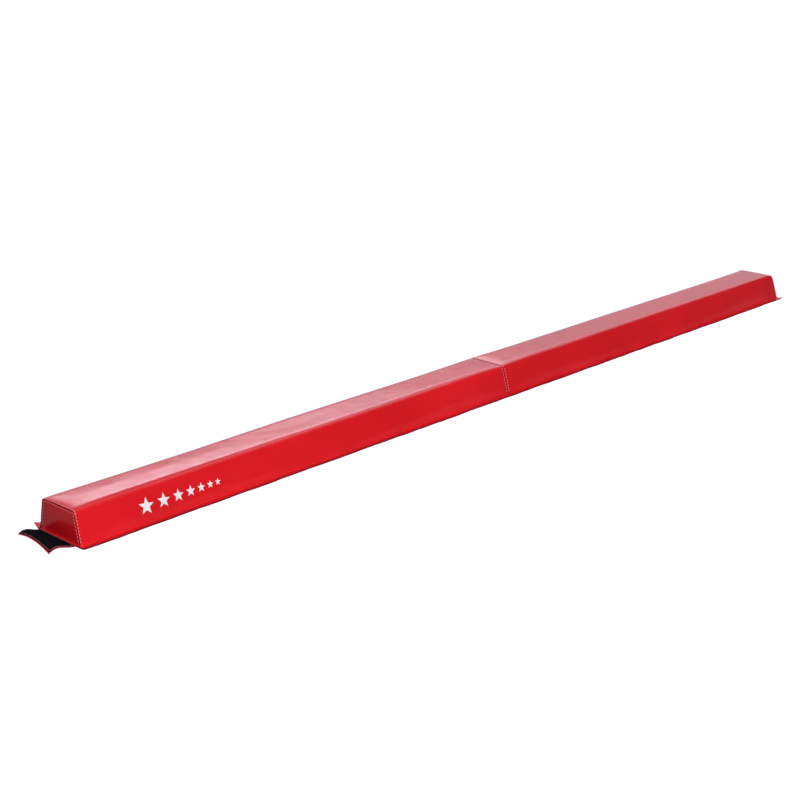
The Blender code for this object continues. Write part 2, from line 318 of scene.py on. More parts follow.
def finish_piece(piece, material, body, nodes):
    """Give a piece its material, the body it rides on and the CAD nodes it replaces."""
    piece.data.materials.clear()
    piece.data.materials.append(material)
    if body:
        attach(piece, body)
    if nodes:
        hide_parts(*nodes)


# ---- the inflated body


def closed_body(side):
    """The foam block's envelope: its points, faces, rows of point numbers, and both caps' grids."""
    ring = body_ring()
    last = len(ring) - 1
    base = np.linspace(ring[-1], ring[0], TOP_STEPS + 1)[1:-1]
    loop = np.concatenate([ring, base])
    spans = max(2, round((HALF_LENGTH - FOLD_HALF_GAP) / SIM_STATION))
    shares = np.linspace(0, 1, spans + 1)
    ends = end_u(loop[:, 1])
    u = FOLD_HALF_GAP + shares[:, None] * (ends[None, :] - FOLD_HALF_GAP)
    tube = place(side, u, loop[None, :, 0], loop[None, :, 1])
    count = len(loop)
    index = np.arange((spans + 1) * count).reshape(spans + 1, count)
    after = np.roll(index, -1, axis=1)
    faces = [quads(index[:-1], index[1:], after[1:], after[:-1])]
    points, caps = [tube.reshape(-1, 3)], []
    made = index.size
    for station in (0, spans):
        cap = np.full((TOP_STEPS + 1, TOP_STEPS + 1), -1)
        cap[:, 0] = index[station, : TOP_STEPS + 1]
        cap[:, -1] = index[station, last - np.arange(TOP_STEPS + 1)]
        cap[-1] = index[station, TOP_STEPS : 2 * TOP_STEPS + 1]
        cap[0, 1:-1] = index[station, last + 1 :][::-1]
        inner = np.argwhere(cap < 0)
        cap[inner[:, 0], inner[:, 1]] = made + np.arange(len(inner))
        made += len(inner)
        share = inner[:, 1:] / TOP_STEPS
        row_front = tube[station, inner[:, 0]]
        row_back = tube[station, last - inner[:, 0]]
        points.append(row_front * (1 - share) + row_back * share)
        faces.append(grid_faces(cap))
        caps.append(cap)
    return np.concatenate(points), np.concatenate(faces), index, caps


def inflated(side):
    """The closed body's points, at rest and blown up as a cloth with its seams pinned."""
    points, faces, index, caps = closed_body(side)
    last = 3 * TOP_STEPS
    pinned = np.zeros(len(points), bool)
    pinned[index[0]] = pinned[index[-1]] = True
    pinned[index[:, 0]] = pinned[index[:, last]] = True
    pinned[index[:, last:]] = True
    obj = mesh_object(f"{side}_blow_up", points, faces)
    group = obj.vertex_groups.new(name="pins")
    group.add([int(i) for i in np.flatnonzero(pinned)], 1.0, "REPLACE")
    cloth = obj.modifiers.new("cloth", "CLOTH")
    settings = cloth.settings
    settings.quality = 5
    settings.mass = 0.3
    settings.tension_stiffness = settings.compression_stiffness = 40
    settings.shear_stiffness = 20
    settings.bending_stiffness = 5
    settings.vertex_group_mass = "pins"
    settings.use_pressure = True
    settings.uniform_pressure_force = PRESSURE
    settings.effector_weights.gravity = 0
    cloth.collision_settings.use_collision = False
    cloth.point_cache.frame_start = 1
    cloth.point_cache.frame_end = SIM_FRAMES
    scene = bpy.context.scene
    for number in range(1, SIM_FRAMES + 1):
        scene.frame_set(number)
    evaluated = obj.evaluated_get(bpy.context.evaluated_depsgraph_get())
    blown = np.empty(len(points) * 3)
    evaluated.data.vertices.foreach_get("co", blown)
    bpy.data.objects.remove(obj)
    scene.frame_set(1)
    return points, blown.reshape(-1, 3), faces, index, caps


def capped(moves, most):
    """Moves shortened smoothly, so that none is longer than the most allowed."""
    lengths = np.maximum(np.linalg.norm(moves, axis=-1, keepdims=True), 1e-12)
    return moves / lengths * most * np.tanh(lengths / most)


def between(values, at, new):
    """Rows of values known at places, read off smoothly at new places."""
    position = np.clip(np.interp(new, at, np.arange(len(at))), 0, len(at) - 1)
    low = np.minimum(position.astype(int), len(at) - 2)
    t = (position - low).reshape(-1, *([1] * (values.ndim - 1)))
    before, after = np.maximum(low - 1, 0), np.minimum(low + 2, len(at) - 1)
    a, b, c, d = values[before], values[low], values[low + 1], values[after]
    return b + 0.5 * t * (c - a + t * (2 * a - 5 * b + 4 * c - d + t * (3 * (b - c) + d - a)))


# ---- the sheets

# Distances of the first rows of points from a sewn end, close together round the stitches
END_ROWS = np.array([0, 0.5, 1.0, 1.7, 2.1, 2.5, 2.9, 3.4, 4.2, 5.5, 7.5, 10.5, 14.5, 20, 27]) * MM

# How the covers close up at the fold
PRESSED_TOGETHER = 0.8 * MM
PRESSED_LENGTH = 6 * MM

# The flanges: how far they stand up, in waves (share, length, seed), and how high each corner
# curls (side, front -1 or back 1, height)
FLANGE_SLACK = 1.3 * MM
FLANGE_RAISED = 0.45
FLANGE_WAVES = ((0.7, 55 * MM, 3), (0.5, 19 * MM, 4))
CURLS = (
    ("left", 1, 8.0 * MM),
    ("right", -1, 1.6 * MM),
    ("left", -1, 0.6 * MM),
    ("right", 1, 1.0 * MM),
)
CURL_LENGTH = 42 * MM

# Slack in the sheets: long and short waves in the covers, and waves in the end panels
LONG_WAVE, LONG_WAVE_HEIGHT, WAVES_SUNK = 75 * MM, 0.45, 0.1
SHORT_WAVE, SHORT_WAVE_HEIGHT = 22 * MM, 0.12
PANEL_WAVE, PANEL_WAVE_HEIGHT = 26 * MM, 0.35

# Puckers along the seams: height, wavelength, reach, and how soon they are at their full height
END_PUCKERS = (0.28, 6.5 * MM, 7 * MM, 3 * MM)
FOOT_PUCKERS = (0.3, 8 * MM, 8 * MM, 4 * MM)
PANEL_PUCKERS = (0.3, 6 * MM, 6 * MM, 3 * MM)

# Where the stations start to follow the leaning end, and where they follow it wholly
LEAN_FROM = 130 * MM
LEAN_TO = 35 * MM

# Seams: the dent under a row of stitches, and how the sheet turns in at its edge (depth, length).
# Heights off the surface are in millimetres
DENT_WIDTH = 0.6 * MM
COVER_DENT = 0.32
FLANGE_DENT = 0.22
PANEL_DENT = 0.3
COVER_TURNED_IN = ((0.7, 0.8 * MM), (0.6, 9 * MM))
PANEL_TURNED_IN = ((3.0, 0.6 * MM), (0.5, 7 * MM))
PANEL_SUNK = 0.1
INNER_PANEL_MOST = 0.7

# The top of the far end swells a little, and rounds off at its edge
FAR_SWELL, FAR_SWELL_AT, FAR_SWELL_WIDTH = 0.9, 16 * MM, 12 * MM
FAR_ROUNDING, FAR_ROUNDING_LENGTH = 2.2, 5 * MM

# The end panels
PANEL_ROWS = END_ROWS[:12]
PANEL_INSET = SHEET + 1.5 * MM
PANEL_ARC_STEPS = 8
LIP_STITCH = 1.5 * MM
LIP_ROOT = 0.9 * MM


def stations():
    """Places along a half: close together at its two sewn ends, even between them."""
    low, high = FOLD_HALF_GAP + END_ROWS[-1], HALF_LENGTH - END_ROWS[-1]
    middle = np.linspace(low, high, round((high - low) / STATION) + 1)[1:-1]
    return np.concatenate([FOLD_HALF_GAP + END_ROWS, middle, (HALF_LENGTH - END_ROWS)[::-1]])


def flange_lift(x, y):
    """How far the thin sewn flange stands off the floor: slack waves, and curls at its corners."""
    x, y = np.broadcast_arrays(np.asarray(x, float), np.asarray(y, float))
    out = np.clip((np.abs(y) - ROOT_Y) / (FLANGE_EDGE - ROOT_Y), 0, 1)
    flat = np.stack([x, np.sign(y) * 0.1, np.zeros_like(x)], -1)
    waves = (height * ripple(flat, length, seed) for height, length, seed in FLANGE_WAVES)
    wave = sum(waves, FLANGE_RAISED)
    lift = FLANGE_SLACK * np.clip(wave, 0, None) * out**1.3
    for side, sign, height in CURLS:
        corner = FOLD_X + SIDES[side] * END_REACH
        near = np.clip(1 - np.abs(x - corner) / CURL_LENGTH, 0, 1)
        lift = lift + height * near**2.2 * out**1.1 * (np.sign(y) == sign)
    return lift


def turned_in(distance, steps):
    """How deep a sheet is turned in at its seam, that far from it."""
    return sum(depth * np.exp(-distance / length) for depth, length in steps)


def puckers(kind, points, seed, distance):
    """Small gathers along a seam: they start a little way off it and die away."""
    height, wavelength, reach, clear = kind
    gathers = height * ripple(points, wavelength, seed)
    return gathers * np.exp(-distance / reach) * smoothstep(0, clear, distance)


def flange_columns():
    """The back flange's section from the side's foot out to its edge: (y, z) points."""
    root = arc(ROOT_Y, ROOT_Z, FLANGE_ROOT_RADIUS, SIDE_ANGLE - math.pi, -math.pi / 2, 4)[1:]
    stitch = FLANGE_STITCH_Y
    round_stitch = [stitch + step * MM for step in (-2.6, -1.2, -0.5, 0, 0.5, 1.2, 2.6)]
    flats = [ROOT_Y + 1.6 * MM, *round_stitch, FLANGE_EDGE - 0.5 * MM, FLANGE_EDGE]
    return np.concatenate([root, [(y, LIP_TOP) for y in flats]])


def cover_surface(side, blown):
    """The outer face of one half's cover as a grid: along the half, and front to back flange."""
    rest, moved, _, index, _ = blown
    ring = body_ring()
    flange = flange_columns()
    section = np.concatenate([mirrored(flange)[::-1], ring, flange])
    first, last = len(flange), len(flange) + len(ring)
    y, z = section[:, 0], section[:, 1]
    u = stations()
    to_end = smoothstep(HALF_LENGTH - LEAN_FROM, HALF_LENGTH - LEAN_TO, u)
    turned_out = smoothstep(SIDE_FOOT, LIP_TOP, z)
    on_flange = z < SIDE_FOOT - 1e-6
    ends = np.where(on_flange, HALF_LENGTH + END_FLANGE * turned_out, end_u(z))
    along = u[:, None] + to_end[:, None] * (ends - HALF_LENGTH)[None, :]
    along -= PRESSED_TOGETHER * np.exp(-(u - FOLD_HALF_GAP) / PRESSED_LENGTH)[:, None]
    points = place(side, along, y[None, :], z[None, :])

    # The crown that the simulation gave the sides and the top
    sim_u = np.linspace(FOLD_HALF_GAP, HALF_LENGTH, len(index))
    moves = capped((moved - rest)[index[:, : len(ring)]], COVER_CROWN)
    points[:, first:last] += between(moves, sim_u, u)

    # Slack in the vinyl, puckers along its seams, and the dents under its stitches
    normals = grid_normals(points) * SIDES[side]
    from_end = np.minimum(u - FOLD_HALF_GAP, HALF_LENGTH - u)[:, None]
    above_foot = np.maximum(z - SIDE_FOOT, 0)[None, :]
    on_body = (~on_flange[None, :]).astype(float)
    loose = smoothstep(0, 40 * MM, from_end) * smoothstep(0, 18 * MM, above_foot)
    long_waves = ripple(points * (0.45, 1, 1), LONG_WAVE, 1 + SIDES[side])
    offset = loose * (LONG_WAVE_HEIGHT * long_waves - WAVES_SUNK)
    offset += loose * SHORT_WAVE_HEIGHT * ripple(points, SHORT_WAVE, 5 + SIDES[side])
    across_end, across_foot = points * (0.15, 1, 1), points * (1, 0.2, 0.2)
    offset += on_body * puckers(END_PUCKERS, across_end, 8 + SIDES[side], from_end)
    offset += on_body * puckers(FOOT_PUCKERS, across_foot, 11 + SIDES[side], above_foot)
    offset -= on_body * COVER_DENT * bump(SEAM_TO_STITCH, DENT_WIDTH, from_end)
    offset -= on_body * turned_in(from_end, COVER_TURNED_IN)
    if side == "right":
        from_outer_end = (HALF_LENGTH - u)[:, None]
        on_top = smoothstep(0.8 * HEIGHT, HEIGHT, z)[None, :]
        offset += on_top * (FAR_SWELL * bump(FAR_SWELL_AT, FAR_SWELL_WIDTH, from_outer_end))
        offset -= on_top * FAR_ROUNDING * np.exp(-from_outer_end / FAR_ROUNDING_LENGTH)
    on_row = bump(FLANGE_STITCH_Y, DENT_WIDTH, np.abs(y))[None, :]
    offset -= (1 - on_body) * FLANGE_DENT * on_row
    points += normals * (offset * MM)[:, :, None]
    points[:, :, 2] += flange_lift(points[:, :, 0], y[None, :])
    return points


def make_cover(side, blown, material):
    """One half's cover, from the edge of the front flange to that of the back flange."""
    outer = cover_surface(side, blown)
    inner = outer - grid_normals(outer) * SIDES[side] * SHEET
    # Its edges carry painted shade, for the shadow in its seams and under its flanges
    cover = thin_sheet(f"{side}_cover_vinyl", outer, inner, cut_edge=1.0)
    finish_piece(cover, material, f"{side}_half", [f"{side}_cover"])
    return cover


def panel_outline(foot):
    """Heights up the panel and its half width at each, the rounded top corner included."""
    shoulder = ARC_Z + (TOP_EDGE_RADIUS - PANEL_INSET) * SIDE_SIN
    heights = np.linspace(foot, shoulder - 1 * MM, 14)
    side = np.stack([side_y(heights, PANEL_INSET), heights], 1)
    radius = TOP_EDGE_RADIUS - PANEL_INSET
    corner = arc(ARC_Y, ARC_Z, radius, SIDE_ANGLE, math.pi / 2, PANEL_ARC_STEPS)
    return np.concatenate([side, corner])


def panel_surface(side, blown, outer):
    """An end panel's outward face as a grid: from its lip or foot up, and from front to back."""
    rest, moved, _, _, caps = blown
    cap = caps[1 if outer else 0]
    crown = OUTER_PANEL_CROWN if outer else INNER_PANEL_CROWN
    foot = LIP_TOP + LIP_ROOT if outer else LIP_BOTTOM
    outline = panel_outline(foot)
    w, z = outline[:, 0], outline[:, 1]
    edge = PANEL_ROWS / (BODY_WIDTH / 2)
    across = np.concatenate([-1 + edge, np.linspace(-0.78, 0.78, 19), (1 - edge)[::-1]])
    y = w[:, None] * across[None, :]
    z = np.broadcast_to(z[:, None], y.shape)
    distance = edge_distance(y, z, PANEL_INSET)
    from_foot = z - foot

    # The simulated swelling of the end, read off its own grid
    swell = np.abs(capped((moved - rest)[cap], crown)[:, :, 0])
    ring = body_ring()
    row = np.interp(z, ring[: TOP_STEPS + 1, 1], np.arange(TOP_STEPS + 1))
    column = (across[None, :] + 1) / 2 * TOP_STEPS + 0 * row
    swelling = read_off(swell[:, :, None], row, column)[:, :, 0]
    face = end_u(z) if outer else np.full_like(z, FOLD_HALF_GAP)
    forward = 1 if outer else -1
    points = place(side, face, y, z)
    slack = smoothstep(0, 14 * MM, distance) * smoothstep(0, 10 * MM, from_foot)
    waves = ripple(points, PANEL_WAVE, 20 + SIDES[side])
    offset = swelling / MM + PANEL_WAVE_HEIGHT * slack * waves
    offset += puckers(PANEL_PUCKERS, points * (0.1, 1, 1), 23 + forward, distance)
    offset -= PANEL_DENT * bump(SEAM_TO_STITCH, DENT_WIDTH, distance)
    offset -= turned_in(distance, PANEL_TURNED_IN) + PANEL_SUNK
    offset = offset if outer else np.minimum(offset, INNER_PANEL_MOST)
    points = place(side, face + forward * offset * MM, y, z)
    if not outer:
        return points

    # The lip that turns out over the base at its foot
    turns = np.linspace(0, math.pi / 2, 5)[:-1]
    flats = np.array([2.5, 2.3, 2.0, 1.75, 1.5, 1.25, 1.1]) * MM
    lip_u = HALF_LENGTH + np.concatenate([flats, LIP_ROOT * (1 - np.sin(turns))])
    lip_z = LIP_TOP + np.concatenate([0 * flats, LIP_ROOT * (1 - np.cos(turns))])
    lip_z -= 0.2 * MM * bump(HALF_LENGTH + LIP_STITCH, 0.4 * MM, lip_u)
    lip = place(side, lip_u[:, None], y[:1], lip_z[:, None])
    return np.concatenate([lip, points])


def make_panel(side, blown, material, outer):
    """One end panel: a sheet behind its outward face."""
    face = panel_surface(side, blown, outer)
    normals = grid_normals(face)
    outward = SIDES[side] * (1 if outer else -1)
    normals *= np.sign(normals[-1, face.shape[1] // 2, 0]) * outward
    where = "outer" if outer else "inner"
    inner_face = face - normals * SHEET
    name = f"{side}_{where}_end_vinyl"
    # Its edges carry painted shade, for the shadow in its seams
    panel = thin_sheet(name, face, inner_face, rim=0.15 * MM, cut_edge=1.0)
    nodes = [f"{side}_{where}_end_panel"]
    finish_piece(panel, material, f"{side}_half", nodes)
    return panel


# The foam: its distance from the cover, and how its ends are squeezed clear of the seams
FOAM_CLEARANCE = 1.6 * MM
SQUEEZE_ALL, SQUEEZE_NONE = 4 * MM, 12 * MM
SQUEEZE_Y, SQUEEZE_Z = 0.05, 0.08


def make_foam(side, blown, material):
    """The foam block itself, just inside the swollen cover."""
    rest, moved, faces, _, _ = blown
    foam = mesh_object(f"{side}_foam", rest + capped(moved - rest, COVER_CROWN), faces)
    bm = bmesh.new()
    bm.from_mesh(foam.data)
    bm.normal_update()
    shrink = SHEET + FOAM_CLEARANCE
    for vertex, normal in [(v, v.normal.copy()) for v in bm.verts]:
        vertex.co -= normal * shrink * vertex.calc_shell_factor()
        along = (vertex.co.x - FOLD_X) * SIDES[side]
        from_end = min(along, HALF_LENGTH - along)
        squeezed = 1 - smoothstep(SQUEEZE_ALL, SQUEEZE_NONE, from_end)
        vertex.co.y *= 1 - SQUEEZE_Y * squeezed
        vertex.co.z -= (vertex.co.z - HEIGHT / 2) * SQUEEZE_Z * squeezed
    bm.to_mesh(foam.data)
    bm.free()
    finish_piece(foam, material, f"{side}_half", [f"{side}_foam_core"])


# ---- the base sheet

HOOK_LOW, HOOK_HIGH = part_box("hook_pad")
BULGE_RISE = 1.5 * MM
LEAST_SPACING = 0.12 * MM
BASE_DENT = 0.34 * MM
BASE_DENT_WIDTH = 0.7 * MM


def base_height(x, y):
    """How far the base's underside is off the floor: more over the hook pad and at the flanges."""
    near_x = np.minimum(x - HOOK_LOW.x, HOOK_HIGH.x - x)
    near_y = np.minimum(y - HOOK_LOW.y, HOOK_HIGH.y - y)
    inside = smoothstep(-1.6 * MM, -0.3 * MM, np.minimum(near_x, near_y))
    return BULGE_RISE * inside + flange_lift(x, y)


def make_base(material):
    """One sheet under both halves, with a row of points at the fold."""
    u = stations()
    far = END_REACH - np.array([0, 0.4, 1.0, 1.6, 2.4, 3.2]) * MM
    near = np.array([0.3, 0.6, 0.9]) * MM
    half = np.concatenate([near, u[u < HALF_LENGTH - 1e-6], far[::-1]])
    pad_edges = np.array([-1.7, -1.2, -0.8, -0.4, 0.3]) * MM
    pad_x = np.concatenate([HOOK_LOW.x + pad_edges, HOOK_HIGH.x - pad_edges])
    x = np.concatenate([FOLD_X - half, [FOLD_X], FOLD_X + half, pad_x])
    x = np.unique(np.round(x, 6))
    x = x[np.concatenate([[True], np.diff(x) > LEAST_SPACING])]
    edge = flange_columns()[:, 0]
    pad_y = np.concatenate([HOOK_LOW.y + pad_edges, HOOK_HIGH.y - pad_edges])
    y = np.unique(np.round([*edge, *(-edge), *pad_y, *np.linspace(-54, 54, 13) * MM], 6))
    grid_x, grid_y = np.meshgrid(x, y, indexing="ij")
    height = base_height(grid_x, grid_y)
    dent = BASE_DENT * bump(FLANGE_STITCH_Y, BASE_DENT_WIDTH, np.abs(grid_y))
    top = np.stack([grid_x, grid_y, height + SHEET], -1)
    bottom = np.stack([grid_x, grid_y, height + dent], -1)
    top[..., :2] = drawn_in(np.stack([grid_x, grid_y, 0 * grid_x], -1))[..., :2]
    bottom[..., :2] = top[..., :2]
    base = thin_sheet("base_vinyl_sheet", top, bottom)
    finish_piece(base, material, None, ["left_base_panel", "right_base_panel"])
    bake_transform(base)
    return base


# ---- the connector flap

FLAP_HALF_WIDTH = 56 * MM
FLAP_LENGTH = 48 * MM
FLAP_SKEW = 3.5 * MM
FLAP_NARROWING = 0.05
FLAP_ROOT_SHIFT = -3.5 * MM
FLAP_TIP_SHIFT = 3 * MM
FLAP_SIDE_ARCH = 6.6 * MM
FLAP_TIP_ARCH = 8 * MM
FLAP_BACK_CORNER = 4 * MM
FLAP_TONGUE = 3.0 * MM
FLAP_TONGUE_THICKNESS = 0.25 * MM

# The loop pad: its matted pile (heights in millimetres), and the loops that stand on it
PAD_MARGIN = 1.5 * MM
PAD_THICKNESS = 1.5
PAD_EDGE_SHARE = 0.55
PAD_DENT, PAD_DENT_AT, PAD_DENT_WIDTH = 0.45, 3 * MM, 0.7 * MM
PAD_INSET = 0.9 * MM
LOOPS = 5200
LOOP_SIZES = (0.35, 0.75)
LOOP_LEAN = 0.4
LOOP_YARN = 0.06 * MM


def flap_point(share, across):
    """A point of the flap's underside: the share of its length from the hinge, and -1 to 1 across.

    It hangs a little skewed. Its sides arch up and dip to its tip, the tip's middle stands up,
    and only the tip's front corner reaches the floor.
    """
    share, across = np.broadcast_arrays(np.asarray(share, float), np.asarray(across, float))
    out = np.clip(share, 0, 1)
    x = FLAP_AXIS.x - share * (FLAP_LENGTH - FLAP_SKEW * across)
    shift = FLAP_ROOT_SHIFT + (FLAP_TIP_SHIFT - FLAP_ROOT_SHIFT) * out
    y = FLAP_HALF_WIDTH * across * (1 - FLAP_NARROWING * out) + shift
    tip = FLAP_TIP_ARCH * (1 - across**2) + FLAP_BACK_CORNER * (1 + across) / 2
    z = LIP_BOTTOM * (1 - out) + FLAP_SIDE_ARCH * np.sin(math.pi * out**1.8) + tip * out**2.2
    tongue = np.interp(share * FLAP_LENGTH, [-FLAP_TONGUE, 0], [1.02 * MM, LIP_BOTTOM])
    return np.stack([x, y, np.where(share < 0, tongue, z)], -1)


def flap_grid(shares, acrosses):
    """Points of the flap's underside, and its unit normals up."""
    points = flap_point(np.asarray(shares)[:, None], np.asarray(acrosses)[None, :])
    normals = grid_normals(points)
    return points, normals * np.sign(normals[:, :, 2:])


def make_flap(material):
    """The flap's sheet, with a thin tongue at its root that goes in under the end."""
    tongue = -FLAP_TONGUE / FLAP_LENGTH
    bend = np.linspace(tongue, 2 * MM / FLAP_LENGTH, 9)
    shares = np.concatenate([bend, np.linspace(0.08, 0.98, 22), [0.992, 1.0]])
    acrosses = np.concatenate([[-1, -0.992], np.linspace(-0.97, 0.97, 31), [0.992, 1]])
    under, normals = flap_grid(shares, acrosses)
    out = shares[:, None, None] * FLAP_LENGTH
    thin = FLAP_TONGUE_THICKNESS
    thickness = np.interp(out, [-FLAP_TONGUE, -0.9 * MM, 0.4 * MM], [thin, thin, SHEET])
    flap = thin_sheet("flap_vinyl", under + normals * thickness, under)
    finish_piece(flap, material, None, ["flap"])
    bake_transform(flap)


def pad_limits():
    """The pad's first and last share of the flap's length, and how far across it reaches."""
    margin = PAD_MARGIN / FLAP_LENGTH
    return margin, 1 - margin, 1 - PAD_MARGIN / FLAP_HALF_WIDTH


def make_loop_pad(material):
    """The loop pad: a matted pile with a rounded edge, and a groove a little way in from it."""
    low, high, side = pad_limits()
    shares = np.linspace(low, high, 56)
    acrosses = np.linspace(-side, side, 120)
    under, normals = flap_grid(shares, acrosses)
    edge_x = np.minimum(shares - low, high - shares)[:, None] * FLAP_LENGTH
    edge_y = (side - np.abs(acrosses))[None, :] * FLAP_HALF_WIDTH
    edge = np.minimum(edge_x, edge_y)
    matted = 0.22 * ripple(under, 1.9 * MM, 31) + 0.14 * ripple(under, 5 * MM, 32)
    rounded = PAD_EDGE_SHARE + (1 - PAD_EDGE_SHARE) * smoothstep(0, 1.6 * MM, edge)
    pile = PAD_THICKNESS * rounded
    pile -= PAD_DENT * bump(PAD_DENT_AT, PAD_DENT_WIDTH, edge)
    pile += matted * smoothstep(0, 1 * MM, edge)
    top = under + normals * (SHEET + (pile * MM)[:, :, None])
    bottom = under + normals * (SHEET + 0.03 * MM)
    pad = thin_sheet("loop_pad_pile", top, bottom, rim=0.1 * MM)
    finish_piece(pad, material, "connector_flap", ["loop_pad"])
    return pad, top


def hair_tubes(name, paths, radius, sides=3):
    """Many fine closed tubes as one mesh, one along each path (points, 3)."""
    paths = np.asarray(paths, float)
    count, steps = paths.shape[:2]
    tangents = np.gradient(paths, axis=1)
    tangents /= np.maximum(np.linalg.norm(tangents, axis=2, keepdims=True), 1e-12)
    helper = np.where(np.abs(tangents[:, :, 2:]) > 0.9, (1.0, 0, 0), (0, 0, 1.0))
    across = np.cross(tangents, helper)
    across /= np.maximum(np.linalg.norm(across, axis=2, keepdims=True), 1e-12)
    other = np.cross(tangents, across)
    angles = np.arange(sides) * 2 * math.pi / sides
    rings = paths[:, :, None] + radius * (
        across[:, :, None] * np.cos(angles)[:, None] + other[:, :, None] * np.sin(angles)[:, None]
    )
    index = np.arange(count * steps * sides).reshape(count, steps, sides)
    turned = np.roll(index, -1, axis=2)
    around = quads(index[:, :-1], turned[:, :-1], turned[:, 1:], index[:, 1:])
    faces = [*around, *index[:, 0], *index[:, -1, ::-1]]
    return mesh_object(name, rings.reshape(-1, 3), faces, 80)


def make_loops(top, material):
    """The pad's standing loops, as small open arches of yarn all over it."""
    random = np.random.default_rng(5)
    count = LOOPS
    row = random.uniform(1.5, top.shape[0] - 2.5, count)
    column = random.uniform(1.5, top.shape[1] - 2.5, count)
    base = read_off(top, row, column)
    heading = random.uniform(0, 2 * math.pi, count)
    span = random.uniform(*LOOP_SIZES, count) * MM
    rise = random.uniform(*LOOP_SIZES, count) * MM
    lean = random.uniform(-LOOP_LEAN, LOOP_LEAN, (count, 2)) * MM
    turns = np.linspace(0, math.pi, 6)
    out = np.cos(turns)[None, :] * span[:, None]
    up = np.sin(turns)[None, :] * rise[:, None] - 0.15 * MM
    share = np.sin(turns)[None, :]
    x = base[:, :1] + out * np.cos(heading)[:, None] + lean[:, :1] * share
    y = base[:, 1:2] + out * np.sin(heading)[:, None] + lean[:, 1:] * share
    loops = hair_tubes("loop_pad_loops", np.stack([x, y, base[:, 2:] + up], -1), LOOP_YARN)
    finish_piece(loops, material, "connector_flap", [])


# ---- the hook pad

# The tape's two faces, and one hook's path: how far it reaches, and its depths off the floor
TAPE_TOP = 1.3 * MM
TAPE_UNDER = 0.75
HOOK_MARGIN = 4 * MM
HOOK_PITCH_X, HOOK_PITCH_Y = 1.9 * MM, 1.7 * MM
HOOK_STRAY = 0.25
HOOK_REACH = np.array([0, 0.02, 0.12, 0.34, 0.5, 0.52]) * MM
HOOK_DEPTH = np.array([0.8, 0.45, 0.15, 0.05, 0.16, 0.3]) * MM
HOOK_RADIUS = 0.09 * MM


def make_hook_pad(tape_material, hook_material):
    """The tape in its recess under the right end, and its field of small hooks."""
    x = np.linspace(HOOK_LOW.x, HOOK_HIGH.x, 41)
    y = np.linspace(HOOK_LOW.y, HOOK_HIGH.y, 81)
    grid_x, grid_y = np.meshgrid(x, y, indexing="ij")
    edge = np.minimum(
        np.minimum(grid_x - HOOK_LOW.x, HOOK_HIGH.x - grid_x),
        np.minimum(grid_y - HOOK_LOW.y, HOOK_HIGH.y - grid_y),
    )
    woven = 0.05 * np.sin(grid_x / (0.9 * MM)) + 0.05 * np.sin(grid_y / (0.7 * MM))
    under = TAPE_UNDER + woven + 0.25 * bump(2 * MM, 0.6 * MM, edge)
    under += 0.15 * (1 - smoothstep(0, MM, edge))
    top = np.stack([grid_x, grid_y, np.full_like(grid_x, TAPE_TOP)], -1)
    bottom = np.stack([grid_x, grid_y, under * MM], -1)
    tape = thin_sheet("hook_pad_tape", top, bottom, rim=0.1 * MM)
    finish_piece(tape, tape_material, "right_half", ["hook_pad"])

    random = np.random.default_rng(9)
    xs = np.arange(HOOK_LOW.x + HOOK_MARGIN, HOOK_HIGH.x - HOOK_MARGIN, HOOK_PITCH_X)
    ys = np.arange(HOOK_LOW.y + HOOK_MARGIN, HOOK_HIGH.y - HOOK_MARGIN, HOOK_PITCH_Y)
    at_x, at_y = [grid.ravel() for grid in np.meshgrid(xs, ys, indexing="ij")]
    at_x = (at_x + random.uniform(-HOOK_STRAY, HOOK_STRAY, at_x.shape) * MM)[:, None]
    at_y = (at_y + random.uniform(-HOOK_STRAY, HOOK_STRAY, at_y.shape) * MM)[:, None]
    way = np.where(random.uniform(size=at_x.shape) < 0.5, -1.0, 1.0)
    paths = np.stack(np.broadcast_arrays(at_x + way * HOOK_REACH, at_y, HOOK_DEPTH), -1)
    hooks = hair_tubes("hook_pad_hooks", paths, HOOK_RADIUS, sides=4)
    finish_piece(hooks, hook_material, "right_half", [])


# ---- stitching


def along_path(points, distances):
    """Points at those distances along a polyline."""
    lengths = np.concatenate([[0], np.cumsum(np.linalg.norm(np.diff(points, axis=0), axis=1))])
    return np.stack([np.interp(distances, lengths, points[:, k]) for k in range(3)], 1)


# One stitch: places along it, and there its height over the surface and its thickness, both as
# shares of the thread's radius
STITCH_SHARES = (0, 0.1, 0.3, 0.5, 0.7, 0.9, 1.0)
STITCH_LIFTS = (-0.7, -0.05, 0.55, 0.7, 0.55, -0.05, -0.7)
STITCH_WIDTHS = (0.5, 0.85, 1.0, 1.02, 1.0, 0.85, 0.5)
STITCH_SIDES = 6
STITCH_FLATNESS = 0.8
LENGTH_SPREAD = (0.93, 1.04)
PLACE_SPREAD = 0.2
SKEW_SPREAD = 0.12


